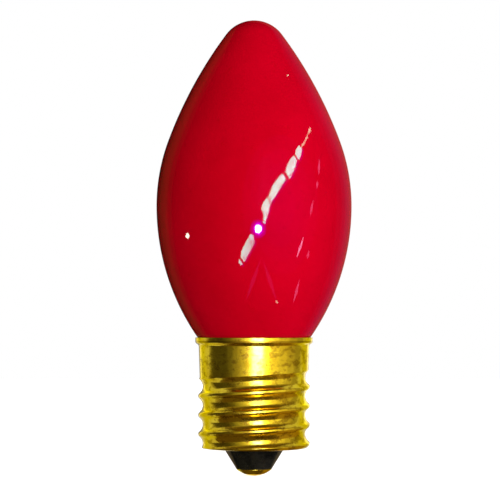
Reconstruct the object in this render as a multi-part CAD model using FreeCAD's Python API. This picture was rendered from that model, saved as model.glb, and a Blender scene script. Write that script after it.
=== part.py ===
import FreeCAD, Part

import math
import os

from FreeCAD import Vector

# A coloured Christmas light bulb with a brass Edison screw cap of the 17 mm size.
# Lengths are in millimetres and angles in degrees.
# +Z runs along the axis, from the cap's centre contact to the tip of the glass.
# The origin is the lowest point of the centre contact, where the bulb meets its socket.
# The front is towards -Y.
# The painted glass can't be seen into, so it is one closed solid, with its neck inside the cap.

# Glass
glass_radius = 14.5
glass_widest_above_rim = 19.55
glass_tip_above_rim = 47.25
belly_radius = 27.8
shoulder_radius = 64.1
tip_radius = 5.2
neck_inset = 1.58
neck_fillet = 3.0
neck_depth = 8.6
seal_fillet = 2.6
exhaust_tip_radius = 1.5
exhaust_tip_length = 3.0

# Screw shell, pressed from thin sheet
wall = 0.22
shell_length = 16.4
mouth_gap = 0.12
mouth_flare = 0.52
mouth_band = 0.6
mouth_nose = 0.35
mouth_fillet = 0.5
skirt_inset = 0.26
skirt_flare = 0.14
skirt_length = 4.5
skirt_step = 0.6
shell_corner = 0.95
hole_overlap = 1.8

# Rolled thread, nine turns to the inch and right-handed, made as one helical groove
pitch = 25.4 / 9
thread_radius = 8.32
thread_depth = 0.7
crest_land = 0.12
root_flat = 0.6
knee_width = 1.4
knee_height = 0.16
groove_turns = 4.5
groove_below_shell = 1.44
groove_start_angle = -90.0
groove_run_out = 90.0
groove_steps_per_turn = 12

# Insulator between the shell and the contact
insulator_length = 3.02
insulator_end_rim = 0.1
flange_inset = 1.1
flange_thickness = 1.3
flange_chamfer = 0.5

# Centre contact, an eyelet with a domed head
contact_radius = 2.6
contact_dome_radius = 4.1
contact_edge = 0.1
shank_radius = 0.8
shank_length = 2.2
shank_bore_depth = 2.4

# Basing cement between the glass neck and the skirt
cement_length = 2.2
cement_below_mouth = 0.1

# Lead wires, and the solder that joins the side wire to the shell
wire_radius = 0.2
wire_clearance = 0.04
centre_wire_gap = 0.9
centre_wire_drop = 2.2
side_wire_inset = 0.8
side_wire_bend = 1.5
side_wire_angle = 90.0
side_wire_turn = 1
solder_radius = 0.7

# Sizes that follow from those above
origin = Vector(0, 0, 0)
up = Vector(0, 0, 1)
root_radius = thread_radius - thread_depth
bore_radius = root_radius - wall
skirt_end_radius = thread_radius - skirt_inset
skirt_top_radius = skirt_end_radius + skirt_flare
lip_radius = skirt_top_radius + mouth_flare
glass_radius_at_rim = lip_radius - wall - mouth_gap
neck_radius = glass_radius_at_rim - neck_inset
flange_radius = bore_radius - flange_inset
shell_hole_radius = flange_radius - hole_overlap
centre_wire_offset = exhaust_tip_radius + centre_wire_gap
side_wire_offset = neck_radius - seal_fillet - side_wire_inset
side_wire_end = bore_radius - wire_clearance
contact_height = (contact_dome_radius + contact_edge
                  - math.sqrt(contact_dome_radius ** 2 - contact_radius ** 2))
shell_bottom = contact_height + insulator_length
rim_height = shell_bottom + shell_length
glass_widest = rim_height + glass_widest_above_rim
glass_top = rim_height + glass_tip_above_rim
glass_bottom = rim_height - neck_depth
mouth_turn = math.acos(1 - mouth_flare / (mouth_nose + mouth_fillet))
skirt_top = rim_height - mouth_band - (mouth_nose + mouth_fillet) * math.sin(mouth_turn)
skirt_end = skirt_top - skirt_length
side_wire_turns_up = side_wire_turn + (side_wire_angle - groove_start_angle) / 360
side_wire_height = shell_bottom - groove_below_shell + pitch * side_wire_turns_up
overshoot = 1.0
thread_trim = 0.03


def at(radius, height):
    """A point of an outline, in the plane through the axis and +X."""
    return Vector(radius, 0, height)


def line(start, end):
    return Part.LineSegment(start, end).toShape()


def arc(centre, radius, start, end):
    """An arc about a point of the outline's plane, between two directions from +X towards +Z."""
    points = []
    for angle in (start, (start + end) / 2, end):
        turn = math.radians(angle)
        points.append(centre + Vector(radius * math.cos(turn), 0, radius * math.sin(turn)))
    return Part.Arc(*points).toShape()


def chain(points):
    """Straight edges from each point to the next."""
    return [line(start, end) for start, end in zip(points, points[1:])]


def turned(edges):
    """The solid that a closed outline makes when it is turned about the axis."""
    return Part.Face(Part.Wire(edges)).revolve(origin, up, 360)


def direction(start, end):
    """The angle of the way from one point of the outline's plane to another."""
    way = end - start
    return math.degrees(math.atan2(way.z, way.x))


def inner_crossing(first, first_radius, second, second_radius):
    """The crossing of two circles in the outline's plane that lies on the axis side."""
    way = second - first
    span = way.Length
    along = (span ** 2 + first_radius ** 2 - second_radius ** 2) / (2 * span)
    aside = math.sqrt(first_radius ** 2 - along ** 2)
    unit = way / span
    return first + unit * along + Vector(-unit.z, 0, unit.x) * aside


def glass_bulb():
    """The blown glass: tangent arcs from the tip to the neck, and the sealed end in the cap."""
    belly = at(glass_radius - belly_radius, glass_widest)
    tip = at(0, glass_top - tip_radius)
    shoulder = inner_crossing(belly, shoulder_radius - belly_radius,
                              tip, shoulder_radius - tip_radius)
    shoulder_end = direction(shoulder, tip)
    belly_end = direction(shoulder, belly)

    narrowing = glass_radius - glass_radius_at_rim
    lower_radius = (glass_widest_above_rim ** 2 + narrowing ** 2) / (2 * narrowing)
    lower = at(glass_radius - lower_radius, glass_widest)
    reach = neck_radius + neck_fillet - lower.x
    fillet = at(neck_radius + neck_fillet,
                lower.z - math.sqrt((lower_radius + neck_fillet) ** 2 - reach ** 2))
    lower_end = direction(lower, fillet)

    seal = at(neck_radius - seal_fillet, glass_bottom + seal_fillet)
    exhaust = at(0, glass_bottom - exhaust_tip_length + exhaust_tip_radius)
    outline = [
        arc(tip, tip_radius, 90, shoulder_end),
        arc(shoulder, shoulder_radius, shoulder_end, belly_end),
        arc(belly, belly_radius, belly_end, 0),
        arc(lower, lower_radius, 0, lower_end),
        arc(fillet, neck_fillet, lower_end + 180, 180),
        line(at(neck_radius, fillet.z), at(neck_radius, seal.z)),
        arc(seal, seal_fillet, 0, -90),
        line(at(seal.x, glass_bottom), at(exhaust_tip_radius, glass_bottom)),
        line(at(exhaust_tip_radius, glass_bottom), at(exhaust_tip_radius, exhaust.z)),
        arc(exhaust, exhaust_tip_radius, 0, -90),
        line(exhaust - up * exhaust_tip_radius, at(0, glass_top)),
    ]
    return turned(outline)


def shell_form(inset, barrel_radius, barrel_top, top):
    """The shell's outer form without its thread, or its hollow where inset is the wall."""
    bottom = shell_bottom + inset
    corner = shell_corner - inset
    nose_radius = mouth_nose - inset
    fillet_radius = mouth_fillet + inset
    turn = math.degrees(mouth_turn)
    nose = at(lip_radius - mouth_nose, rim_height - mouth_band)
    fillet = at(skirt_top_radius + mouth_fillet, skirt_top)
    skirt_start = barrel_top + skirt_step
    skirt_radius = skirt_radius_at(skirt_start) - inset
    outline = [
        line(at(0, bottom), at(barrel_radius - corner, bottom)),
        arc(at(barrel_radius - corner, bottom + corner), corner, -90, 0),
        line(at(barrel_radius, bottom + corner), at(barrel_radius, barrel_top)),
        line(at(barrel_radius, barrel_top), at(skirt_radius, skirt_start)),
        line(at(skirt_radius, skirt_start), at(skirt_top_radius - inset, skirt_top)),
        arc(fillet, fillet_radius, 180, 180 - turn),
        arc(nose, nose_radius, -turn, 0),
        line(at(lip_radius - inset, rim_height - mouth_band), at(lip_radius - inset, top)),
        line(at(lip_radius - inset, top), at(0, top)),
        line(at(0, top), at(0, bottom)),
    ]
    return turned(outline)


def skirt_radius_at(height):
    """The outer radius of the skirt, which narrows a little towards the thread."""
    share = (skirt_top - height) / skirt_length
    return skirt_top_radius - share * skirt_flare


def groove_path():
    """A right-handed helix that leaves the shell over its last degrees, where the groove runs out."""
    steps = round(groove_turns * groove_steps_per_turn)
    points = []
    for step in range(steps + 1):
        swept = groove_turns * 360 * step / steps
        fade = max(0.0, 1 - (groove_turns * 360 - swept) / groove_run_out)
        radius = thread_radius + (thread_depth + wall) * fade ** 2 * (3 - 2 * fade)
        turn = math.radians(groove_start_angle + swept)
        height = shell_bottom - groove_below_shell + pitch * swept / 360
        points.append(Vector(radius * math.cos(turn), radius * math.sin(turn), height))
    curve = Part.BSplineCurve()
    curve.interpolate(points)
    return Part.Wire([curve.toShape()])


def groove():
    """The helical groove that leaves the narrow crests of the thread."""
    knee = at(root_radius + knee_height, knee_width / 2)
    crest = at(thread_radius, (pitch - crest_land) / 2)
    flank = (crest - knee).normalize()
    lip = crest + flank * ((pitch / 2 - crest.z) / flank.z / 2)
    upper = [at(root_radius, root_flat / 2), knee, lip, at(thread_radius + overshoot, lip.z)]
    lower = [at(point.x, -point.z) for point in reversed(upper)]
    section = Part.makePolygon(lower + upper + [lower[0]])
    section.translate(up * (shell_bottom - groove_below_shell))
    section.rotate(origin, up, groove_start_angle)
    sweep = Part.BRepOffsetAPI.MakePipeShell(groove_path())
    sweep.setBiNormalMode(up)
    sweep.add(section, False, False)
    sweep.build()
    sweep.makeSolid()
    return sweep.shape()


def threaded_rod():
    """A rod of the thread's size, wide enough above it for the skirt and the mouth."""
    wide = lip_radius + overshoot
    rod = turned(chain([
        at(0, 0),
        at(thread_radius, 0),
        at(thread_radius, skirt_top),
        at(wide, skirt_top),
        at(wide, rim_height + overshoot),
        at(0, rim_height + overshoot),
        at(0, 0),
    ]))
    return rod.cut(groove())


def screw_shell():
    """The pressed shell: flared mouth, plain skirt, rolled thread and turned-in bottom."""
    form = shell_form(0, thread_radius + thread_trim, skirt_end - skirt_step, rim_height)
    outer = threaded_rod().common(form)
    hollow = shell_form(wall, bore_radius, skirt_end + pitch / 2, rim_height + overshoot)
    hole = Part.makeCylinder(shell_hole_radius, 2 * overshoot, at(0, shell_bottom - overshoot))
    return outer.cut(hollow).cut(hole)


def base_insulator():
    """The black cone, with the flange that holds it in the shell and a hole for the eyelet."""
    end_radius = contact_radius + insulator_end_rim
    seat = shell_bottom + wall
    top = seat + flange_thickness
    outline = chain([
        at(shank_radius, contact_height),
        at(end_radius, contact_height),
        at(shell_hole_radius, shell_bottom),
        at(shell_hole_radius, seat),
        at(flange_radius, seat),
        at(flange_radius, top - flange_chamfer),
        at(flange_radius - flange_chamfer, top),
        at(shank_radius, top),
        at(shank_radius, contact_height),
    ])
    return turned(outline)


def centre_contact():
    """The brass eyelet: a domed head under the cone, and a shank bored for the centre wire."""
    bore = wire_radius + wire_clearance
    shank_top = contact_height + shank_length
    bore_end = shank_top - shank_bore_depth
    dome = at(0, contact_dome_radius)
    edge_angle = -math.degrees(math.acos(contact_radius / contact_dome_radius))
    outline = [
        arc(dome, contact_dome_radius, -90, edge_angle),
        line(at(contact_radius, contact_height - contact_edge), at(contact_radius, contact_height)),
    ]
    outline += chain([
        at(contact_radius, contact_height),
        at(shank_radius, contact_height),
        at(shank_radius, shank_top),
        at(bore, shank_top),
        at(bore, bore_end),
        at(0, bore_end),
        at(0, 0),
    ])
    return turned(outline)


def wire_along(edges, start, heading):
    """A round wire along a path of tangent lines and arcs."""
    section = Part.Wire([Part.makeCircle(wire_radius, start, heading)])
    return Part.Wire(edges).makePipeShell([section], True, False)


def centre_lead_wire():
    """The wire from the glass seal, past the exhaust tip and down into the eyelet."""
    bend_top = glass_bottom - centre_wire_drop
    bend_end = shell_bottom + wall + flange_thickness
    half_angle = math.atan(centre_wire_offset / (bend_top - bend_end))
    turn = math.degrees(2 * half_angle)
    radius = (bend_top - bend_end) / 2 / math.sin(2 * half_angle)
    wire_end = contact_height + shank_length - shank_bore_depth + wire_clearance
    path = [
        line(at(centre_wire_offset, glass_bottom), at(centre_wire_offset, bend_top)),
        arc(at(centre_wire_offset - radius, bend_top), radius, 0, -turn),
        arc(at(radius, bend_end), radius, 180 - turn, 180),
        line(at(0, bend_end), at(0, wire_end)),
    ]
    return wire_along(path, at(centre_wire_offset, glass_bottom), -up)


def side_wire_path():
    """The route of the side wire: down out of the seal, and over to the wall of the shell."""
    centre = at(side_wire_offset + side_wire_bend, side_wire_height + side_wire_bend)
    return [
        line(at(side_wire_offset, glass_bottom), at(side_wire_offset, centre.z)),
        arc(centre, side_wire_bend, 180, 270),
        line(at(centre.x, side_wire_height), at(side_wire_end, side_wire_height)),
    ]


def side_lead_wire():
    """The wire from the glass seal to the inside of the shell."""
    wire = wire_along(side_wire_path(), at(side_wire_offset, glass_bottom), -up)
    return wire.rotated(origin, up, side_wire_angle)


def basing_cement(glass):
    """The ring of cement that holds the glass in the skirt."""
    top = skirt_top - cement_below_mouth
    bottom = top - cement_length
    inside = neck_radius - wall
    ring = turned(chain([
        at(inside, bottom),
        at(skirt_radius_at(bottom) - wall, bottom),
        at(skirt_radius_at(top) - wall, top),
        at(inside, top),
        at(inside, bottom),
    ]))
    return ring.cut(glass)


def side_solder(side_wire):
    """The drop of solder that joins the side wire to the shell, behind a root of the thread."""
    drop = Part.makeSphere(solder_radius, at(side_wire_end, side_wire_height))
    drop.rotate(origin, up, side_wire_angle)
    bore = Part.makeCylinder(bore_radius, 2 * solder_radius, at(0, side_wire_height - solder_radius))
    return drop.common(bore).cut(side_wire)


def save(name, shape):
    solids = shape.Solids
    print(name, "solids", len(solids), "volume", round(shape.Volume, 3), "valid", shape.isValid())
    result = solids[0] if len(solids) == 1 else Part.makeCompound(solids)
    result.exportStep(os.path.join("parts", name + ".step"))


def main():
    os.makedirs("parts", exist_ok=True)
    glass = glass_bulb()
    side_wire = side_lead_wire()
    save("glass_bulb", glass)
    save("screw_shell", screw_shell())
    save("base_insulator", base_insulator())
    save("centre_contact", centre_contact())
    save("basing_cement", basing_cement(glass))
    save("centre_lead_wire", centre_lead_wire())
    save("side_lead_wire", side_wire)
    save("side_solder", side_solder(side_wire))


main()
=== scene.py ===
import math

import bpy
from mathutils import Matrix, Vector


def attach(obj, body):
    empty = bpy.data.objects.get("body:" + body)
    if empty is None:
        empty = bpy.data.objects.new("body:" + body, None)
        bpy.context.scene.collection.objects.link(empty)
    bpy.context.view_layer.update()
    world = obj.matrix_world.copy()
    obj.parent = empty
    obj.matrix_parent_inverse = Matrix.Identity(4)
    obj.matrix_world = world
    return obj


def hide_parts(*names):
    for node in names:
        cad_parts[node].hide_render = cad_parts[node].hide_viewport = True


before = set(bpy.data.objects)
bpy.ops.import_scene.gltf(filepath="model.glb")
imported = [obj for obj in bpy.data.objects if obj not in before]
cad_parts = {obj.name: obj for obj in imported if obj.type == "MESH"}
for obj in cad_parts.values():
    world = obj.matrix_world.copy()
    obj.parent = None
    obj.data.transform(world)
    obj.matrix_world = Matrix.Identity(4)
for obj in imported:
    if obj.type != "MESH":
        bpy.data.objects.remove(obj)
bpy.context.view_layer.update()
MM = 0.001

# Sizes of the CAD part, in millimetres.
# Here the same forms get finer meshes and the soft edges that pressed brass and glass have.
GLASS_RADIUS = 14.5
GLASS_WIDEST_ABOVE_RIM = 19.55
GLASS_TIP_ABOVE_RIM = 47.25
GLASS_RADIUS_AT_RIM = 8.38
BELLY_RADIUS = 27.8
SHOULDER_RADIUS = 64.1
TIP_RADIUS = 5.2
NECK_RADIUS = 6.8
NECK_FILLET = 3.0
NECK_DEPTH = 8.6
SEAL_FILLET = 2.6
EXHAUST_TIP_RADIUS = 1.5
EXHAUST_TIP_LENGTH = 3.0

WALL = 0.22
SHELL_LENGTH = 16.4
MOUTH_GAP = 0.12
MOUTH_BAND = 0.6
MOUTH_NOSE = 0.35
MOUTH_FILLET = 0.5
SKIRT_TOP_RADIUS = 8.2
SKIRT_END_RADIUS = 8.06
SKIRT_LENGTH = 4.5
SKIRT_STEP = 0.6
SHELL_CORNER = 0.95
SHELL_HOLE_RADIUS = 4.5

PITCH = 25.4 / 9
THREAD_RADIUS = 8.32
THREAD_DEPTH = 0.7
VALLEY_ROUND = 1.3
GROOVE_TURNS = 4.5
GROOVE_BELOW_SHELL = 1.44
GROOVE_START_ANGLE = -90.0
GROOVE_RUN_OUT = 90.0

INSULATOR_LENGTH = 3.02
INSULATOR_END_RIM = 0.1
FLANGE_RADIUS = 6.3
FLANGE_THICKNESS = 1.3
FLANGE_CHAMFER = 0.5

CONTACT_RADIUS = 2.6
CONTACT_DOME_RADIUS = 4.1
CONTACT_EDGE = 0.1
SHANK_RADIUS = 0.8
SHANK_LENGTH = 2.2
SHANK_BORE_DEPTH = 2.4
WIRE_HOLE_RADIUS = 0.24

# Softness of the scene's own meshes, in millimetres, and their columns round the axis.
SHEET_EDGE = 0.07
INSULATOR_EDGE = 0.12
GROOVE_EDGE = 0.1
CREST_BLEND = 1.2
VALLEY_SHARE = 0.8
GLASS_SEGMENTS = 224
SHELL_SEGMENTS = 320
SMALL_SEGMENTS = 160

# Colours of the pieces, in linear light.
LACQUER = (0.60, 0.001, 0.013)
LACQUER_DEEP = (0.55, 0.0, 0.011)
LACQUER_LIGHT = (0.64, 0.0, 0.015)
LACQUER_SPECK = (0.48, 0.002, 0.006)
BRASS = (0.56, 0.39, 0.018)
BRASS_EDGE = (0.9, 0.8, 0.40)
BRASS_LIGHT = (0.62, 0.425, 0.020)
BRASS_DULL = (0.49, 0.30, 0.010)
# The brown of the stains, also used for the painted shade under the lip.
BRASS_STAIN_AND_SHADE = (0.22, 0.11, 0.004)
GLAZE = (0.008, 0.007, 0.005)
GLAZE_DARK = (0.007, 0.007, 0.006)
GLAZE_LIGHT = (0.024, 0.022, 0.017)
CEMENT = (0.55, 0.52, 0.45)
CEMENT_DARK = (0.42, 0.39, 0.33)
CEMENT_LIGHT = (0.64, 0.61, 0.54)
WIRE = (0.60, 0.42, 0.32)
SOLDER = (0.62, 0.62, 0.64)

# Painted shade: a brown band in the crease under the lip of the shell, its middle in millimetres below the
# rim and its reach above and below.
PAINTED_SHADE_BELOW_RIM = 0.62
PAINTED_SHADE_REACH = 0.22

# Floor, world and lamps, in metres.
FLOOR_COLOUR = (0.90, 0.90, 0.90)
FLOOR_GLOW = 0.86
FLOOR_RADIUS = 0.55
WORLD_LIGHT = 0.025
LAMP_HEIGHT = 0.7
LAMP_AIM_HEIGHT = 0.034

# What the photographed glass mirrors, in pixels of the photograph.
WINDOW_PANES = (
    ((298.7, 145.2), (302, 148), (300.9, 155.8), (298.7, 160.2), (295.3, 154.7), (295.9, 149.7)),
    ((293.7, 155.2), (297, 160.8), (294.2, 170.2), (289.8, 178.6), (285.3, 172.4), (285.9, 168),
     (289.8, 160.2)),
    ((282.6, 173.2), (286.2, 179.7), (279.8, 189.1), (271.4, 203), (268.7, 196.9), (270.3, 190.2),
     (276.4, 179.7)),
    ((267, 197.4), (270.3, 204.1), (267.6, 213.6), (265.3, 223.6), (263.1, 223), (263.7, 214.7),
     (261.1, 209.1), (262.6, 204.7)),
    ((250.3, 233.6), (253.1, 235.2), (254.8, 242.4), (248.7, 253.6), (244.2, 261.9),
     (240.7, 256.9), (240.9, 251.9), (246.4, 241.3)),
    ((239.2, 259.1), (242.6, 263.6), (241.4, 265.8), (238.7, 262.4)),
)
FRINGE_ASIDE = 1.8
FRINGE_BELOW = 1.3
HAZE_MIDDLE = (280, 205)
HAZE_ACROSS = 38
HAZE_ALONG = 70
# Small lamps and streaks, each with its two ends and its width.
SMALL_LAMPS = (
    ((310.6, 126.8), (308.2, 134.5), 2.8),
    ((308.0, 134), (305.4, 141.5), 3.0),
    ((305.2, 140.5), (301.4, 147.5), 3.4),
    ((288.5, 74.2), (287, 76.8), 2.2),
    ((275.8, 299.8), (277.8, 304.2), 2.6),
)
LONG_LAMP = ((303.6, 236.5), (296.6, 258.5), 2.2)
LEFT_LAMP = (187.5, 236.0)
LEFT_LAMP_ACROSS = 1.9
LEFT_LAMP_ALONG = 2.8
STREAKS = (
    ((319.4, 158), (318.6, 176), 2.0),
    ((317.2, 180), (317.0, 189), 2.2),
    ((313.2, 199.5), (310.0, 217), 2.4),
    ((309, 250), (307.2, 259.5), 2.2),
    ((299.6, 279), (293.0, 304), 2.6),
)
FLASH = (258.3, 228.9)
FLASH_LEGS = (
    ((261, 258), (246, 301), 4.4),
    ((263, 260), (276.6, 301), 4.4),
)

# Screens round the bulb, from one azimuth to the next in degrees, with a strength or a colour.
# Azimuth 0 is the camera's side, and +90 is its right.
FRONT_SCREENS = (
    (-106, -100, 0.4), (-100, -56, 0.10), (-56, -44, 0.19), (-44, -34, 0.40), (-34, -26, 0.66),
    (-26, -18, 0.95), (-18, -9, 1.5), (-9, -4, 4.0), (18, 27, 5.0), (27, 37, 2.4), (37, 52, 1.7),
    (52, 72, 1.2), (72, 92, 0.8), (92, 112, 0.5),
)
BACK_SCREENS = (
    (112, 148, 0.98), (148, 162, 2.1), (162, 174, 1.0), (174, 197, 0.22), (197, 206, 0.7),
    (206, 216, 1.9), (216, 254, 0.98),
)
RIM_SCREENS = (
    (-158, -146, (0.01, 0.015, 0.003)), (-146, -134, (0.01, 0.04, 0.006)),
    (-134, -122, (0.02, 0.06, 0.01)), (-122, -112, (0.01, 0.03, 0.005)),
    (112, 124, (0.0, 0.02, 0.06)), (124, 134, (0.02, 0.04, 0.12)),
    (134, 142, (0.08, 0.07, 0.15)), (142, 152, (0.20, 0.08, 0.12)),
    (152, 162, (0.35, 0.09, 0.08)), (162, 172, (0.40, 0.07, 0.05)),
    (172, 184, (0.35, 0.04, 0.03)),
)
PALE_GLOW = (1.0, 1.12, 1.9)

# Outlines of the screens, as (distance from the axis, height) in metres.
NEAR_TABLE = ((0.0014, 0.0002), (0.040, 0.0002))
TABLE_AND_WALL = ((0.034, 0.0012), (0.6, 0.0012), (0.6, 0.40))
HIGH_WALL = ((0.6, 0.39), (0.6, 0.62))
GLASS_WALL = ((0.03, 0.0016), (0.5, 0.0016), (0.5, 0.6))
INSULATOR_WALL = ((0.003, 0.0003), (0.5, 0.0003), (0.5, 0.4))
CEILING_HEIGHT = 1.02
CEILING_REACH = 2.0
CEILING_CHANGE = 0.1
CARD_ABOVE_TABLE = 0.0018
ROOM_DISTANCE = 0.5

# Camera and photograph: 500 pixels square, the lens just above the brass lip and tilted up a little.
PHOTO_PIXELS = 500
CAMERA_DISTANCE = 0.300
CAMERA_HEIGHT = 0.0220
CAMERA_AIM_HEIGHT = 0.03344
CAMERA_ASIDE = -0.0006
FRAME_WIDTH = 0.0743
SENSOR = 36.0

contact_height = (CONTACT_DOME_RADIUS + CONTACT_EDGE
                  - math.sqrt(CONTACT_DOME_RADIUS ** 2 - CONTACT_RADIUS ** 2))
shell_bottom = contact_height + INSULATOR_LENGTH
rim_height = shell_bottom + SHELL_LENGTH
glass_widest = rim_height + GLASS_WIDEST_ABOVE_RIM
glass_top = rim_height + GLASS_TIP_ABOVE_RIM
glass_bottom = rim_height - NECK_DEPTH
lip_radius = GLASS_RADIUS_AT_RIM + MOUTH_GAP + WALL
mouth_turn = math.acos(1 - (lip_radius - SKIRT_TOP_RADIUS) / (MOUTH_NOSE + MOUTH_FILLET))
skirt_top = rim_height - MOUTH_BAND - (MOUTH_NOSE + MOUTH_FILLET) * math.sin(mouth_turn)
skirt_end = skirt_top - SKIRT_LENGTH
root_radius = THREAD_RADIUS - THREAD_DEPTH
camera_tilt = math.atan((CAMERA_AIM_HEIGHT - CAMERA_HEIGHT) / CAMERA_DISTANCE)


def sampled_arc(centre, radius, start, end, steps):
    """Points (radius, height) of an arc between two directions in degrees."""
    points = []
    for step in range(steps + 1):
        angle = math.radians(start + (end - start) * step / steps)
        points.append((centre[0] + radius * math.cos(angle), centre[1] + radius * math.sin(angle)))
    return points


def sampled_line(start, end, steps):
    """Evenly spaced points of a line."""
    return [(start[0] + (end[0] - start[0]) * step / steps,
             start[1] + (end[1] - start[1]) * step / steps) for step in range(steps + 1)]


def joined(*runs):
    """One list of points without the doubled ends."""
    points = []
    for run in runs:
        for point in run:
            if not points or math.dist(point, points[-1]) > 1e-6:
                points.append(point)
    return points


def direction(start, end):
    """The angle of the way from one point to another, in degrees."""
    return math.degrees(math.atan2(end[1] - start[1], end[0] - start[0]))


def new_object(name, vertices, faces):
    """A smooth mesh in the scene."""
    mesh = bpy.data.meshes.new(name)
    mesh.from_pydata(vertices, [], faces)
    mesh.update()
    mesh.shade_smooth()
    piece = bpy.data.objects.new(name, mesh)
    bpy.context.scene.collection.objects.link(piece)
    return piece


def lathe(name, profile, segments):
    """A smooth mesh of a profile that runs from a point on the axis, or closes on itself."""
    on_axis = abs(profile[0][0]) < 1e-9
    vertices = []
    faces = []
    rings = profile[1:-1] if on_axis else profile
    for radius, height in rings:
        for column in range(segments):
            turn = 2 * math.pi * column / segments
            vertices.append((radius * math.cos(turn) * MM, radius * math.sin(turn) * MM, height * MM))
    count = len(rings)
    bands = count - 1 if on_axis else count
    for row in range(bands):
        for column in range(segments):
            beside = (column + 1) % segments
            above = (row + 1) % count
            faces.append((row * segments + column, row * segments + beside,
                          above * segments + beside, above * segments + column))
    if on_axis:
        for pole, row in ((profile[0], 0), (profile[-1], count - 1)):
            centre = len(vertices)
            vertices.append((0, 0, pole[1] * MM))
            for column in range(segments):
                beside = (column + 1) % segments
                ends = (row * segments + beside, row * segments + column)
                faces.append((centre, *(ends if row == 0 else ends[::-1])))
    return new_object(name, vertices, faces)


def glass_arcs():
    """Centres and radii of the glass's tangent arcs, as in the CAD part."""
    belly = (GLASS_RADIUS - BELLY_RADIUS, glass_widest)
    tip = (0.0, glass_top - TIP_RADIUS)
    first = SHOULDER_RADIUS - BELLY_RADIUS
    second = SHOULDER_RADIUS - TIP_RADIUS
    span = math.dist(belly, tip)
    along = (span ** 2 + first ** 2 - second ** 2) / (2 * span)
    aside = math.sqrt(first ** 2 - along ** 2)
    way = ((tip[0] - belly[0]) / span, (tip[1] - belly[1]) / span)
    shoulder = (belly[0] + way[0] * along - way[1] * aside,
                belly[1] + way[1] * along + way[0] * aside)
    narrowing = GLASS_RADIUS - GLASS_RADIUS_AT_RIM
    lower_radius = (GLASS_WIDEST_ABOVE_RIM ** 2 + narrowing ** 2) / (2 * narrowing)
    lower = (GLASS_RADIUS - lower_radius, glass_widest)
    return belly, tip, shoulder, lower, lower_radius


def glass_profile():
    """The glass's outline, from its sealed end in the cap to its tip."""
    belly, tip, shoulder, lower, lower_radius = glass_arcs()
    shoulder_end = direction(shoulder, tip)
    belly_end = direction(shoulder, belly)
    reach = NECK_RADIUS + NECK_FILLET - lower[0]
    fillet = (NECK_RADIUS + NECK_FILLET,
              lower[1] - math.sqrt((lower_radius + NECK_FILLET) ** 2 - reach ** 2))
    lower_end = direction(lower, fillet)
    seal = (NECK_RADIUS - SEAL_FILLET, glass_bottom + SEAL_FILLET)
    exhaust = (0.0, glass_bottom - EXHAUST_TIP_LENGTH + EXHAUST_TIP_RADIUS)
    profile = joined(
        sampled_arc(tip, TIP_RADIUS, 90, shoulder_end, 18),
        sampled_arc(shoulder, SHOULDER_RADIUS, shoulder_end, belly_end, 36),
        sampled_arc(belly, BELLY_RADIUS, belly_end, 0, 24),
        sampled_arc(lower, lower_radius, 0, lower_end, 34),
        sampled_arc(fillet, NECK_FILLET, lower_end + 180, 180, 6),
        sampled_line((NECK_RADIUS, fillet[1]), (NECK_RADIUS, seal[1]), 2),
        sampled_arc(seal, SEAL_FILLET, 0, -90, 8),
        sampled_line((seal[0], glass_bottom), (EXHAUST_TIP_RADIUS, glass_bottom), 2),
        sampled_line((EXHAUST_TIP_RADIUS, glass_bottom), (EXHAUST_TIP_RADIUS, exhaust[1]), 2),
        sampled_arc(exhaust, EXHAUST_TIP_RADIUS, 0, -90, 8),
    )
    return list(reversed(profile))


def groove_section(offset):
    """The groove's outer radius at a distance along the axis from its middle line."""
    reach = VALLEY_ROUND * VALLEY_SHARE
    offset = abs(offset)
    if offset <= reach:
        return root_radius + VALLEY_ROUND - math.sqrt(VALLEY_ROUND ** 2 - offset ** 2)
    level = root_radius + VALLEY_ROUND - math.sqrt(VALLEY_ROUND ** 2 - reach ** 2)
    return level + (offset - reach) * reach / math.sqrt(VALLEY_ROUND ** 2 - reach ** 2)


def soft_min(first, second, width):
    """The smaller of two values, with a rounded change from one to the other."""
    share = max(width - abs(first - second), 0.0) / width
    return min(first, second) - share * share * width / 4


def thread_radius_at(turn, height):
    """The threaded surface's radius at an angle round the axis and a height, in degrees and mm.

    Where no groove runs, it is a radius well outside the shell.
    """
    start = shell_bottom - GROOVE_BELOW_SHELL
    phase = (turn - GROOVE_START_ANGLE) % 360
    below = math.floor(((height - start) / PITCH * 360 - phase) / 360)
    radii = []
    for lap in (below, below + 1):
        swept = phase + 360 * lap
        if swept < -1e-6 or swept > GROOVE_TURNS * 360:
            continue
        fade = max(0.0, 1 - (GROOVE_TURNS * 360 - swept) / GROOVE_RUN_OUT)
        lift = (THREAD_DEPTH + WALL) * fade ** 2 * (3 - 2 * fade)
        radii.append(groove_section(height - start - PITCH * swept / 360) + lift)
    if not radii:
        return 2 * THREAD_RADIUS
    if len(radii) == 1:
        return radii[0]
    return soft_min(radii[0], radii[1], CREST_BLEND)


def skirt_radius_at(height):
    """The outer radius of the skirt, which narrows a little towards the thread."""
    share = (skirt_top - height) / SKIRT_LENGTH
    return SKIRT_TOP_RADIUS - share * (SKIRT_TOP_RADIUS - SKIRT_END_RADIUS)


def blank_radius_at(height):
    """The shell's outer radius without its thread, between the corner and the skirt's top."""
    blend = min(max((height - (skirt_end - SKIRT_STEP)) / SKIRT_STEP, 0.0), 1.0)
    blend = blend * blend * (3 - 2 * blend)
    return THREAD_RADIUS * (1 - blend) + skirt_radius_at(height) * blend


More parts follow.
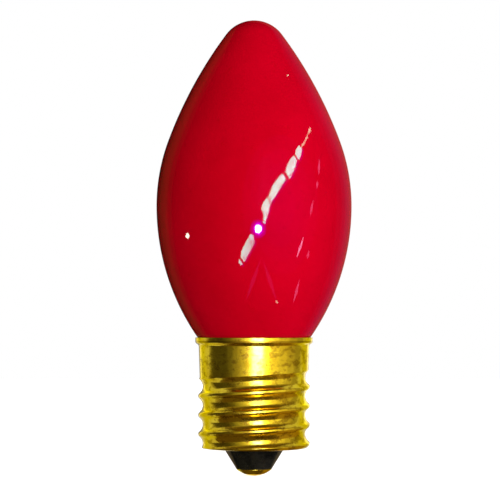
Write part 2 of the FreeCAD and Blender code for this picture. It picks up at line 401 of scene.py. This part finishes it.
def shell_rows():
    """Rows (radius, height, threaded) up the shell's outside and back down its inside."""
    edge = SHEET_EDGE
    turn = math.degrees(mouth_turn)
    nose = (lip_radius - MOUTH_NOSE, rim_height - MOUTH_BAND)
    fillet = (SKIRT_TOP_RADIUS + MOUTH_FILLET, skirt_top)
    corner = (THREAD_RADIUS - SHELL_CORNER, shell_bottom + SHELL_CORNER)
    fine_rows_end = skirt_end + 1.6
    barrel = sampled_line((0, shell_bottom + SHELL_CORNER), (0, fine_rows_end), 124)
    skirt = sampled_line((0, fine_rows_end), (0, skirt_top), 8)
    outside = joined(
        sampled_arc((SHELL_HOLE_RADIUS + edge, shell_bottom + edge), edge, 180, 270, 3),
        sampled_line((SHELL_HOLE_RADIUS + edge, shell_bottom), (corner[0], shell_bottom), 5),
        sampled_arc(corner, SHELL_CORNER, -90, 0, 14),
        [(blank_radius_at(height), height) for _, height in barrel + skirt[1:]],
        sampled_arc(fillet, MOUTH_FILLET, 180, 180 - turn, 7),
        sampled_arc(nose, MOUTH_NOSE, -turn, 0, 6),
        sampled_line((lip_radius, nose[1]), (lip_radius, rim_height - edge), 3),
        sampled_arc((lip_radius - edge, rim_height - edge), edge, 0, 180, 8),
    )
    inner_root = root_radius - WALL
    narrow_top = skirt_end + PITCH / 2
    step_top = narrow_top + SKIRT_STEP
    skirt_inside = skirt_radius_at(step_top) - WALL
    inside = joined(
        sampled_line((lip_radius - WALL, rim_height - edge), (lip_radius - WALL, nose[1]), 2),
        sampled_arc(nose, MOUTH_NOSE - WALL, 0, -turn, 4),
        sampled_arc(fillet, MOUTH_FILLET + WALL, 180 - turn, 180, 5),
        sampled_line((SKIRT_TOP_RADIUS - WALL, skirt_top), (skirt_inside, step_top), 3),
        sampled_line((skirt_inside, step_top), (inner_root, narrow_top), 2),
        sampled_line((inner_root, narrow_top), (inner_root, shell_bottom + SHELL_CORNER), 8),
        sampled_arc((inner_root - SHELL_CORNER + WALL, shell_bottom + SHELL_CORNER),
                    SHELL_CORNER - WALL, 0, -90, 6),
        sampled_line((inner_root - SHELL_CORNER + WALL, shell_bottom + WALL),
                     (SHELL_HOLE_RADIUS + edge, shell_bottom + WALL), 3),
        sampled_arc((SHELL_HOLE_RADIUS + edge, shell_bottom + WALL - edge), edge, 90, 180, 3),
    )
    rows = [(radius, height, shell_bottom < height < skirt_top) for radius, height in outside]
    return rows + [(radius, height, False) for radius, height in inside]


def shell_mesh():
    """The pressed shell: every row goes round the axis, and the groove is cut into its outside."""
    segments = SHELL_SEGMENTS
    rows = shell_rows()
    vertices = []
    faces = []
    for radius, height, threaded in rows:
        for column in range(segments):
            turn = 360 * column / segments
            reach = radius
            if threaded and radius > root_radius - GROOVE_EDGE:
                reach = soft_min(radius, thread_radius_at(turn, height), GROOVE_EDGE)
            angle = math.radians(turn)
            vertices.append((reach * math.cos(angle) * MM, reach * math.sin(angle) * MM, height * MM))
    for row in range(len(rows)):
        above = (row + 1) % len(rows)
        for column in range(segments):
            beside = (column + 1) % segments
            faces.append((row * segments + column, row * segments + beside,
                          above * segments + beside, above * segments + column))
    return new_object("screw_shell_skin", vertices, faces)


def insulator_profile():
    """The insulator's outline: the cone, the flange in the shell, and the hole for the contact."""
    end = CONTACT_RADIUS + INSULATOR_END_RIM
    seat = shell_bottom + WALL
    top = seat + FLANGE_THICKNESS
    soft = INSULATOR_EDGE
    return joined(
        sampled_line((SHANK_RADIUS, contact_height), (end - soft, contact_height), 4),
        sampled_arc((end - soft, contact_height + soft), soft, -90, -30, 4),
        sampled_line((end, contact_height + soft), (SHELL_HOLE_RADIUS, shell_bottom), 12),
        sampled_line((SHELL_HOLE_RADIUS, shell_bottom), (SHELL_HOLE_RADIUS, seat), 2),
        sampled_line((SHELL_HOLE_RADIUS, seat), (FLANGE_RADIUS, seat), 2),
        sampled_line((FLANGE_RADIUS, seat), (FLANGE_RADIUS, top - FLANGE_CHAMFER), 2),
        sampled_line((FLANGE_RADIUS, top - FLANGE_CHAMFER), (FLANGE_RADIUS - FLANGE_CHAMFER, top), 2),
        sampled_line((FLANGE_RADIUS - FLANGE_CHAMFER, top), (SHANK_RADIUS, top), 4),
        sampled_line((SHANK_RADIUS, top), (SHANK_RADIUS, contact_height), 4)[:-1],
    )


def contact_profile():
    """The contact's outline: its dome, its edge, and its shank with the bore for the wire."""
    edge_angle = -math.degrees(math.acos(CONTACT_RADIUS / CONTACT_DOME_RADIUS))
    shank_top = contact_height + SHANK_LENGTH
    bore_end = shank_top - SHANK_BORE_DEPTH
    return joined(
        sampled_arc((0.0, CONTACT_DOME_RADIUS), CONTACT_DOME_RADIUS, -90, edge_angle, 24),
        sampled_line((CONTACT_RADIUS, contact_height - CONTACT_EDGE), (CONTACT_RADIUS, contact_height), 2),
        sampled_line((CONTACT_RADIUS, contact_height), (SHANK_RADIUS, contact_height), 3),
        sampled_line((SHANK_RADIUS, contact_height), (SHANK_RADIUS, shank_top), 3),
        sampled_line((SHANK_RADIUS, shank_top), (WIRE_HOLE_RADIUS, shank_top), 2),
        sampled_line((WIRE_HOLE_RADIUS, shank_top), (WIRE_HOLE_RADIUS, bore_end), 3),
        [(0.0, bore_end)],
    )


def material(name, base, metallic=0.0, roughness=0.3, ior=1.5):
    """A Principled material, its node tree and its shader."""
    made = bpy.data.materials.new(name)
    made.use_nodes = True
    shader = made.node_tree.nodes["Principled BSDF"]
    shader.inputs["Base Color"].default_value = (*base, 1)
    shader.inputs["Metallic"].default_value = metallic
    shader.inputs["Roughness"].default_value = roughness
    shader.inputs["IOR"].default_value = ior
    return made, made.node_tree, shader


def noise(tree, scale, detail=3.0, roughness=0.55, stretch=(1, 1, 1)):
    """Noise in object space, whose scale is in features per metre."""
    place = tree.nodes.new("ShaderNodeTexCoord")
    mapping = tree.nodes.new("ShaderNodeMapping")
    mapping.inputs["Scale"].default_value = stretch
    texture = tree.nodes.new("ShaderNodeTexNoise")
    texture.inputs["Scale"].default_value = scale
    texture.inputs["Detail"].default_value = detail
    texture.inputs["Roughness"].default_value = roughness
    tree.links.new(place.outputs["Object"], mapping.inputs["Vector"])
    tree.links.new(mapping.outputs["Vector"], texture.inputs["Vector"])
    return texture.outputs["Fac"]


def ramp(tree, value, stops):
    """A colour ramp between two stops, each a place and a colour."""
    node = tree.nodes.new("ShaderNodeValToRGB")
    for element, (place, colour) in zip(node.color_ramp.elements, stops):
        element.position = place
        element.color = (*colour, 1)
    tree.links.new(value, node.inputs["Fac"])
    return node.outputs["Color"]


def mixed(tree, share, first, second):
    """Two colours mixed by a share, each colour a socket or a plain colour."""
    node = tree.nodes.new("ShaderNodeMix")
    node.data_type = "RGBA"
    tree.links.new(share, node.inputs["Factor"])
    for socket, value in ((node.inputs[6], first), (node.inputs[7], second)):
        if isinstance(value, bpy.types.NodeSocket):
            tree.links.new(value, socket)
        else:
            socket.default_value = (*value, 1)
    return node.outputs[2]


def ranged(tree, value, source, target):
    """A value carried over from one range to another, and held at the ends."""
    node = tree.nodes.new("ShaderNodeMapRange")
    for name, number in zip(("From Min", "From Max", "To Min", "To Max"), (*source, *target)):
        node.inputs[name].default_value = number
    tree.links.new(value, node.inputs["Value"])
    return node.outputs["Result"]


def bump(tree, shader, height, distance, strength):
    node = tree.nodes.new("ShaderNodeBump")
    node.inputs["Strength"].default_value = strength
    node.inputs["Distance"].default_value = distance
    tree.links.new(height, node.inputs["Height"])
    tree.links.new(node.outputs["Normal"], shader.inputs["Normal"])


def painted_glass():
    """Opaque red lacquer on blown glass: even, glossy, with a faint orange peel."""
    made, tree, shader = material("painted_glass", LACQUER, roughness=0.05, ior=1.4)
    cloud = noise(tree, scale=110, detail=4)
    speck = noise(tree, scale=900, detail=2, roughness=0.7)
    peel = noise(tree, scale=260, detail=2)
    shade = mixed(tree, ranged(tree, cloud, (0.3, 0.7), (0.0, 1.0)), LACQUER_DEEP, LACQUER_LIGHT)
    colour = mixed(tree, ranged(tree, speck, (0.62, 0.75), (0.0, 0.35)), shade, LACQUER_SPECK)
    tree.links.new(colour, shader.inputs["Base Color"])
    tree.links.new(ranged(tree, cloud, (0.3, 0.7), (0.02, 0.045)), shader.inputs["Roughness"])
    bump(tree, shader, peel, distance=0.00002, strength=0.2)
    return made


def near_height(tree, height, reach):
    """1 at a height in the object, in millimetres, and 0 beyond a reach above and below it."""
    place = tree.nodes.new("ShaderNodeTexCoord")
    parts = tree.nodes.new("ShaderNodeSeparateXYZ")
    offset = tree.nodes.new("ShaderNodeMath")
    offset.operation = "SUBTRACT"
    offset.inputs[1].default_value = height * MM
    distance = tree.nodes.new("ShaderNodeMath")
    distance.operation = "ABSOLUTE"
    tree.links.new(place.outputs["Object"], parts.inputs[0])
    tree.links.new(parts.outputs["Z"], offset.inputs[0])
    tree.links.new(offset.outputs[0], distance.inputs[0])
    return ranged(tree, distance.outputs[0], (0.0, reach * MM), (1.0, 0.0))


def brass(name, stains):
    """Thin rolled brass: bright, with brown stains in clouds and specks, fine turning lines, and a brown
    band of painted shade under the lip of the shell.
    """
    made, tree, shader = material(name, BRASS, metallic=1.0, roughness=0.18)
    shader.inputs["Specular Tint"].default_value = (*BRASS_EDGE, 1)
    cloud = noise(tree, scale=260, detail=5, roughness=0.62)
    blotch = noise(tree, scale=620, detail=4, roughness=0.6, stretch=(1, 1, 1.6))
    speck = noise(tree, scale=1500, detail=3, roughness=0.6)
    lines = noise(tree, scale=900, detail=2, roughness=0.6, stretch=(0.25, 0.25, 6.0))
    # Painted shade: a mask for a brown band under the lip of the shell, where the rolled lip turns down.
    painted_lip_shade = near_height(tree, rim_height - PAINTED_SHADE_BELOW_RIM, PAINTED_SHADE_REACH)
    clean = mixed(tree, ranged(tree, cloud, (0.38, 0.66), (0.0, 1.0)), BRASS_LIGHT, BRASS_DULL)
    stained = mixed(tree, ranged(tree, blotch, (0.50, 0.62), (0.0, stains)), clean, BRASS_STAIN_AND_SHADE)
    dotted = mixed(tree, ranged(tree, speck, (0.60, 0.72), (0.0, 0.6)), stained, BRASS_STAIN_AND_SHADE)
    # Lays the painted shade band under the lip over the stains.
    colour = mixed(tree, painted_lip_shade, dotted, BRASS_STAIN_AND_SHADE)
    tree.links.new(colour, shader.inputs["Base Color"])
    tree.links.new(ranged(tree, blotch, (0.4, 0.7), (0.14, 0.30)), shader.inputs["Roughness"])
    bump(tree, shader, lines, distance=0.00001, strength=0.25)
    return made


def black_insulator():
    """Black glassy insulator, a little uneven."""
    made, tree, shader = material("black_insulator", GLAZE, roughness=0.16)
    cloud = noise(tree, scale=500, detail=4)
    colour = ramp(tree, cloud, ((0.35, GLAZE_DARK), (0.65, GLAZE_LIGHT)))
    tree.links.new(colour, shader.inputs["Base Color"])
    tree.links.new(ranged(tree, cloud, (0.3, 0.7), (0.10, 0.28)), shader.inputs["Roughness"])
    bump(tree, shader, noise(tree, scale=700), distance=0.00005, strength=0.5)
    return made


def cement():
    """Grey-white basing cement with fine grains."""
    made, tree, shader = material("cement", CEMENT, roughness=0.85)
    grain = noise(tree, scale=2200, detail=4, roughness=0.7)
    colour = ramp(tree, grain, ((0.35, CEMENT_DARK), (0.65, CEMENT_LIGHT)))
    tree.links.new(colour, shader.inputs["Base Color"])
    bump(tree, shader, grain, distance=0.0001, strength=0.6)
    return made


def drawn_metal(name, base, roughness):
    """Drawn wire or solder, with faint streaks along it."""
    made, tree, shader = material(name, base, metallic=1.0, roughness=roughness)
    lines = noise(tree, scale=2500, roughness=0.6, stretch=(1, 1, 0.2))
    darker = tuple(channel * 0.7 for channel in base)
    colour = mixed(tree, ranged(tree, lines, (0.35, 0.7), (0.0, 1.0)), base, darker)
    tree.links.new(colour, shader.inputs["Base Color"])
    bump(tree, shader, lines, distance=0.00002, strength=0.4)
    return made


def dress(piece, node, finish):
    """A finished piece in the place of a node of the CAD part."""
    piece.data.materials.append(finish)
    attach(piece, "root")
    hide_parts(node)
    return piece


def make_object():
    """The four pieces that show, finer than in the CAD part, and materials for the hidden ones."""
    glass = dress(lathe("glass_bulb_skin", glass_profile(), GLASS_SEGMENTS), "glass_bulb",
                  painted_glass())
    shell = dress(shell_mesh(), "screw_shell", brass("shell_brass", stains=0.75))
    insulator = dress(lathe("base_insulator_skin", insulator_profile(), SMALL_SEGMENTS),
                      "base_insulator", black_insulator())
    contact = dress(lathe("centre_contact_skin", contact_profile(), SMALL_SEGMENTS),
                    "centre_contact", brass("contact_brass", stains=0.35))
    hidden = {
        "basing_cement": cement(),
        "centre_lead_wire": drawn_metal("lead_wire", WIRE, roughness=0.3),
        "side_lead_wire": drawn_metal("lead_wire_side", WIRE, roughness=0.3),
        "side_solder": drawn_metal("solder", SOLDER, roughness=0.35),
    }
    for node, finish in hidden.items():
        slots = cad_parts[node].data.materials
        for index in range(len(slots)):
            slots[index] = finish
    return glass, insulator, [shell, contact]


def background_strength(tree, seen_value, other_value):
    """One value for rays that show the background, and another for those that light the object."""
    path = tree.nodes.new("ShaderNodeLightPath")
    seen = path.outputs["Is Camera Ray"]
    for name in ("Is Glossy Ray", "Is Transmission Ray"):
        either = tree.nodes.new("ShaderNodeMath")
        either.operation = "MAXIMUM"
        tree.links.new(seen, either.inputs[0])
        tree.links.new(path.outputs[name], either.inputs[1])
        seen = either.outputs[0]
    return ranged(tree, seen, (0.0, 1.0), (other_value, seen_value))


def set_world():
    """A white background that lights the object only a little."""
    world = bpy.data.worlds.new("studio")
    bpy.context.scene.world = world
    world.use_nodes = True
    tree = world.node_tree
    back = tree.nodes["Background"]
    back.inputs["Color"].default_value = (1, 1, 1, 1)
    tree.links.new(background_strength(tree, 1.0, WORLD_LIGHT), back.inputs["Strength"])


def floor():
    """A plain white floor that shows the bulb's soft shadow."""
    made, tree, shader = material("floor_white", FLOOR_COLOUR, roughness=0.9)
    shader.inputs["Specular IOR Level"].default_value = 0.0
    glow = tree.nodes.new("ShaderNodeEmission")
    tree.links.new(background_strength(tree, FLOOR_GLOW, 0.0), glow.inputs["Strength"])
    both = tree.nodes.new("ShaderNodeAddShader")
    tree.links.new(shader.outputs[0], both.inputs[0])
    tree.links.new(glow.outputs[0], both.inputs[1])
    tree.links.new(both.outputs[0], tree.nodes["Material Output"].inputs["Surface"])
    rim = []
    for turn in range(0, 360, 5):
        angle = math.radians(turn)
        rim.append((FLOOR_RADIUS * math.cos(angle), FLOOR_RADIUS * math.sin(angle), 0))
    plane = new_object("floor", rim, [tuple(range(len(rim)))])
    plane.data.materials.append(made)


def camera():
    """The photographer's place, in front of the bulb and low."""
    lens = bpy.data.cameras.new("camera")
    lens.sensor_width = SENSOR
    lens.lens = SENSOR * CAMERA_DISTANCE / FRAME_WIDTH
    eye = bpy.data.objects.new("camera", lens)
    eye.location = (CAMERA_ASIDE, -CAMERA_DISTANCE, CAMERA_HEIGHT)
    eye.rotation_euler = (math.radians(90) + camera_tilt, 0, 0)
    bpy.context.scene.collection.objects.link(eye)
    bpy.context.scene.camera = eye


def area_lamp(name, azimuth, elevation, distance, width, watts, colour):
    """A soft box that faces the middle of the bulb and that no reflection shows."""
    flat = math.cos(math.radians(elevation))
    way = Vector((math.sin(math.radians(azimuth)) * flat, -math.cos(math.radians(azimuth)) * flat,
                  math.sin(math.radians(elevation))))
    lamp = bpy.data.lights.new(name, "AREA")
    lamp.shape = "RECTANGLE"
    lamp.size = width
    lamp.size_y = LAMP_HEIGHT
    lamp.energy = watts
    lamp.color = colour
    box = bpy.data.objects.new(name, lamp)
    box.location = Vector((0, 0, LAMP_AIM_HEIGHT)) + way * distance
    box.rotation_euler = (-way).to_track_quat("-Z", "Y").to_euler()
    box.visible_camera = False
    box.visible_glossy = False
    bpy.context.scene.collection.objects.link(box)


def lamps():
    """Three soft boxes: in front, on the right, and behind on the right."""
    area_lamp("front", azimuth=11, elevation=9, distance=0.9, width=0.26, watts=8.4,
              colour=(1.0, 0.97, 0.70))
    area_lamp("right", azimuth=74, elevation=5, distance=0.9, width=0.7, watts=4.4,
              colour=(1.0, 1.0, 1.7))
    area_lamp("back", azimuth=164, elevation=16, distance=1.0, width=0.5, watts=7.5,
              colour=(1.0, 1.0, 1.0))


def arc_end(first, first_radius, second, second_radius):
    """The height at which an arc changes into a tangent arc inside it."""
    return first[1] + (second[1] - first[1]) * first_radius / (first_radius - second_radius)


def glass_surface(height):
    """The glass's radius and its outward normal (across, up) at a height in millimetres."""
    belly, tip, shoulder, lower, lower_radius = glass_arcs()
    if height < glass_widest:
        centre, radius = lower, lower_radius
    elif height < arc_end(shoulder, SHOULDER_RADIUS, belly, BELLY_RADIUS):
        centre, radius = belly, BELLY_RADIUS
    elif height < arc_end(shoulder, SHOULDER_RADIUS, tip, TIP_RADIUS):
        centre, radius = shoulder, SHOULDER_RADIUS
    else:
        centre, radius = tip, TIP_RADIUS
    across = math.sqrt(radius ** 2 - (height - centre[1]) ** 2)
    return centre[0] + across, across / radius, (height - centre[1]) / radius


def mirrored(pixel_x, pixel_y):
    """Where the glass shows a pixel of the photograph, and the way in which it mirrors there."""
    eye = Vector((CAMERA_ASIDE, -CAMERA_DISTANCE, CAMERA_HEIGHT)) / MM
    scale = FRAME_WIDTH / MM / PHOTO_PIXELS
    half = PHOTO_PIXELS / 2
    ray = Vector(((pixel_x - half) * scale, CAMERA_DISTANCE / MM, (half - pixel_y) * scale)).normalized()
    ray = Matrix.Rotation(camera_tilt, 3, "X") @ ray
    near, far = (CAMERA_DISTANCE / MM - GLASS_RADIUS - 1), CAMERA_DISTANCE / MM
    for _ in range(50):
        middle = (near + far) / 2
        point = eye + ray * middle
        inside = math.hypot(point.x, point.y) < glass_surface(point.z)[0]
        near, far = (near, middle) if inside else (middle, far)
    point = eye + ray * near
    _, across, rise = glass_surface(point.z)
    spread = math.hypot(point.x, point.y)
    normal = Vector((point.x / spread * across, point.y / spread * across, rise))
    return point * MM, ray - 2 * ray.dot(normal) * normal


def glowing(name, colour, strength, clear=False):
    """A glow. A clear one adds to what is behind it, and the others hide that."""
    made = bpy.data.materials.new(name)
    made.use_nodes = True
    tree = made.node_tree
    tree.nodes.remove(tree.nodes["Principled BSDF"])
    glow = tree.nodes.new("ShaderNodeEmission")
    glow.inputs["Color"].default_value = (*colour, 1)
    glow.inputs["Strength"].default_value = strength
    last = glow
    if clear:
        last = tree.nodes.new("ShaderNodeAddShader")
        see_through = tree.nodes.new("ShaderNodeBsdfTransparent")
        tree.links.new(glow.outputs[0], last.inputs[0])
        tree.links.new(see_through.outputs[0], last.inputs[1])
    tree.links.new(last.outputs[0], tree.nodes["Material Output"].inputs["Surface"])
    return made


def receivers(name, pieces):
    """A set of pieces to which glowing cards can be limited."""
    group = bpy.data.collections.new(name)
    for piece in pieces:
        group.objects.link(piece)
    return group


def hang(card, glow, group):
    """Makes a mesh a card that only the gloss and the metal of a set of pieces show."""
    card.data.materials.append(glow)
    card.visible_camera = False
    card.visible_diffuse = False
    card.visible_shadow = False
    card.visible_transmission = False
    card.light_linking.receiver_collection = group


def mirrored_card(name, corners, glow, glass, distance=ROOM_DISTANCE):
    """A card in the room, or flat over the table, where the glass mirrors it at these pixels."""
    places = []
    for pixel in corners:
        point, way = mirrored(*pixel)
        reach = distance
        if way.z < 0:
            reach = min(distance, (point.z - CARD_ABOVE_TABLE) / -way.z)
        places.append(point + way * reach)
    hang(new_object(name, places, [tuple(range(len(places)))]), glow, glass)


def around(centre, across, along, count=12):
    """Pixels of an upright ellipse."""
    return [(centre[0] + across * math.cos(2 * math.pi * step / count),
             centre[1] + along * math.sin(2 * math.pi * step / count)) for step in range(count)]


def streak(start, end, width):
    """Pixels of a narrow pointed streak."""
    middle = ((start[0] + end[0]) / 2, (start[1] + end[1]) / 2)
    return [start, (middle[0] + width / 2, middle[1]), end, (middle[0] - width / 2, middle[1])]


def streak_cards(name, streaks, glow, glass):
    for index, (start, end, width) in enumerate(streaks):
        mirrored_card("%s_%d" % (name, index), streak(start, end, width), glow, glass)


def window(glass):
    """The bright window, its violet fringe, and the violet haze round it."""
    pane = glowing("pane", (0.2, 1.0, 0.86), 24.0, clear=True)
    fringe = glowing("pane_fringe", (0.25, 0.0, 0.9), 3.0, clear=True)
    haze = glowing("haze", (0.05, 0.0, 1.0), 0.12, clear=True)
    for index, corners in enumerate(WINDOW_PANES):
        mirrored_card("pane_%d" % index, corners, pane, glass)
        beside = [(x + FRINGE_ASIDE, y + FRINGE_BELOW) for x, y in corners]
        mirrored_card("pane_fringe_%d" % index, beside, fringe, glass, ROOM_DISTANCE - 0.01)
    for index, share in enumerate((1.0, 0.8, 0.6, 0.4)):
        ring = around(HAZE_MIDDLE, HAZE_ACROSS * share, HAZE_ALONG * share, 24)
        mirrored_card("haze_%d" % index, ring, haze, glass, ROOM_DISTANCE - 0.02)


def small_lights(glass):
    """The small lamps and the streaks beside the window, and the legs under the flash."""
    dim = glowing("pane_dim", (0.6, 1.0, 0.7), 12.0, clear=True)
    warm = glowing("lamp_long", (1.0, 0.6, 1.1), 13.0, clear=True)
    bright = glowing("lamp_left", (0.8, 1.0, 0.8), 30.0, clear=True)
    faint = glowing("streak", (1.0, 0.35, 0.9), 4.0, clear=True)
    leg = glowing("leg", (0.8, 0.1, 0.8), 1.1, clear=True)
    streak_cards("lamp", SMALL_LAMPS, dim, glass)
    mirrored_card("lamp_long", streak(*LONG_LAMP), warm, glass)
    mirrored_card("lamp_left", around(LEFT_LAMP, LEFT_LAMP_ACROSS, LEFT_LAMP_ALONG), bright, glass)
    streak_cards("streak", STREAKS, faint, glass)
    streak_cards("leg", FLASH_LEGS, leg, glass)


def flash(glass):
    """The camera's flash: a white spot in two violet rings, nested close to the glass."""
    spot = glowing("flash", (1.0, 1.0, 1.0), 90.0, clear=True)
    halo = glowing("flash_halo", (0.25, 0.0, 1.0), 18.0, clear=True)
    wide = glowing("flash_glow", (0.1, 0.0, 1.0), 5.0, clear=True)
    mirrored_card("flash_spot", around(FLASH, 3.4, 4.2), spot, glass, 0.046)
    mirrored_card("flash_ring", around(FLASH, 5.2, 6.4), halo, glass, 0.048)
    mirrored_card("flash_wide", around(FLASH, 8.0, 9.5), wide, glass, 0.050)


def sector(name, glow, azimuths, outline, group):
    """A screen round the bulb between two azimuths, from an outline of (distance, height)."""
    steps = 24
    vertices = []
    faces = []
    count = len(outline)
    for step in range(steps + 1):
        azimuth = math.radians(azimuths[0] + (azimuths[1] - azimuths[0]) * step / steps)
        for distance, height in outline:
            vertices.append((math.sin(azimuth) * distance, -math.cos(azimuth) * distance, height))
    for step in range(steps):
        for row in range(count - 1):
            corner = step * count + row
            faces.append((corner, corner + 1, corner + 1 + count, corner + count))
    hang(new_object(name, vertices, faces), glow, group)


def ceiling(name, glow, front, back, group):
    """A ceiling between two places along the depth of the room."""
    side = CEILING_REACH
    corners = [(-side, front, CEILING_HEIGHT), (side, front, CEILING_HEIGHT),
               (side, back, CEILING_HEIGHT), (-side, back, CEILING_HEIGHT)]
    hang(new_object(name, corners, [(0, 1, 2, 3)]), glow, group)


def brass_room(metal):
    """The room that the brass mirrors: dim and warm in front, pale behind, with bright screens."""
    dark = glowing("room_dark", (1.0, 0.72, 0.38), 0.17)
    side = glowing("room_side", (1.0, 0.72, 0.33), 0.50)
    pale = glowing("room_pale", PALE_GLOW, 0.98)
    high = glowing("room_high", (1.0, 0.9, 0.7), 0.45)
    sector("table_near", dark, (-76, 44), NEAR_TABLE, metal)
    sector("table_side", side, (44, 112), NEAR_TABLE, metal)
    sector("table_back", pale, (112, 284), NEAR_TABLE, metal)
    ceiling("ceiling", dark, -CEILING_REACH, CEILING_CHANGE, metal)
    ceiling("ceiling_back", pale, CEILING_CHANGE, CEILING_REACH, metal)
    sector("room_high", high, (-80, 112), HIGH_WALL, metal)
    sector("room_high_back", pale, (112, 280), HIGH_WALL, metal)
    for index, (start, end, strength) in enumerate(FRONT_SCREENS):
        glow = glowing("screen_%d" % index, (1.0, 0.98, 0.8), strength)
        sector("screen_%d" % index, glow, (start, end), TABLE_AND_WALL, metal)
    for index, (start, end, strength) in enumerate(BACK_SCREENS):
        glow = glowing("screen_back_%d" % index, PALE_GLOW, strength)
        sector("screen_back_%d" % index, glow, (start, end), TABLE_AND_WALL, metal)
    bright = glowing("screen_bright", (0.5, 0.62, 2.4), 20.0)
    sector("screen_bright", bright, (-4, 18), TABLE_AND_WALL, metal)


def edge_screens(glass, insulator):
    """The dim room that shows at the edges of the glass, and beside the insulator."""
    for index, (start, end, colour) in enumerate(RIM_SCREENS):
        glow = glowing("rim_%d" % index, colour, 1.0, clear=True)
        sector("rim_%d" % index, glow, (start, end), GLASS_WALL, glass)
    side = glowing("insulator_side", (1.0, 0.75, 0.4), 0.3, clear=True)
    sector("insulator_left", side, (-175, -100), INSULATOR_WALL, insulator)
    sector("insulator_right", side, (100, 175), INSULATOR_WALL, insulator)


def studio(glass, insulator, metal):
    """Soft lamps light the pieces, and cards that only gloss and metal see make the reflections."""
    lamps()
    window(glass)
    small_lights(glass)
    flash(glass)
    brass_room(metal)
    edge_screens(glass, insulator)


glass_piece, insulator_piece, metal_pieces = make_object()
floor()
set_world()
camera()
studio(receivers("glass", [glass_piece]), receivers("insulator", [insulator_piece]),
       receivers("metal", metal_pieces))
bpy.context.scene.view_settings.view_transform = "Standard"
